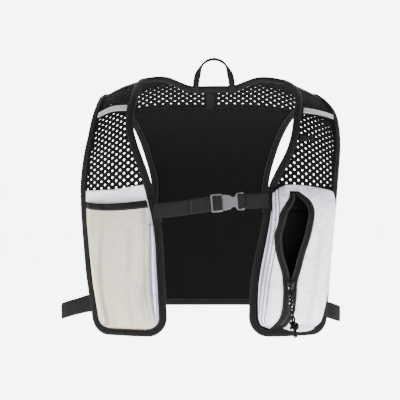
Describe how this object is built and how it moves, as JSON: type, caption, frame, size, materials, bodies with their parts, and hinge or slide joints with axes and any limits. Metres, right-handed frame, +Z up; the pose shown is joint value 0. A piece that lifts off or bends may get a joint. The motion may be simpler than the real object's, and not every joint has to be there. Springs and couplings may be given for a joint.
{
  "type": "running hydration vest",
  "caption": "Black running vest of net and cloth in its worn shape, with a white net pocket, a white zipped pocket, a buckled sternum strap, side straps and a hang loop.",
  "frame": {"origin": "between the wearer's shoulders, where the vest rests on them", "axes": "+X to the right as seen from the front, +Y to the wearer's back, +Z up"},
  "size_m": [0.3898, 0.2457, 0.3856],
  "materials": {
    "binding_tape": "matte woven",
    "spacer_net": "matte knit",
    "black_cloth": "matte woven",
    "webbing": "matte woven",
    "reflective_tape": "satin coated",
    "white_ripstop": "satin woven",
    "white_net": "matte knit",
    "buckle_plastic": "satin moulded",
    "zip_metal": "satin black",
    "pull_cord": "matte braided"
  },
  "bodies": {
    "root": {"front_binding_left": "binding_tape", "shoulder_cap_left": "black_cloth", "chest_net_left": "spacer_net", "front_lining_left": "black_cloth", "reflective_band_left": "black_cloth", "reflective_strip_left": "reflective_tape", "front_binding_right": "binding_tape", "shoulder_cap_right": "black_cloth", "chest_net_right": "spacer_net", "front_lining_right": "black_cloth", "reflective_band_right": "black_cloth", "reflective_strip_right": "reflective_tape", "tube_tab": "webbing", "neck_binding": "binding_tape", "back_binding": "binding_tape", "back_yoke": "spacer_net", "back_panel": "black_cloth", "pocket_gusset_left": "white_ripstop", "pocket_gusset_right": "white_ripstop", "white_patch": "white_ripstop", "net_pocket": "white_net", "pocket_rim": "binding_tape", "zip_pocket": "white_ripstop", "zip_tape_left": "black_cloth", "zip_tape_right": "black_cloth", "buckle_socket": "buckle_plastic", "buckle_clip": "buckle_plastic", "strap_anchor_left": "black_cloth", "sternum_strap_left": "webbing", "strap_tail": "webbing", "strap_anchor_right": "black_cloth", "sternum_strap_right": "webbing", "side_tab_left": "webbing", "side_strap_left": "webbing", "side_tab_right": "webbing", "side_strap_right": "webbing", "hang_loop": "webbing", "zip_slider": "zip_metal", "zip_pull_cord": "pull_cord"}
  },
  "joints": []
}
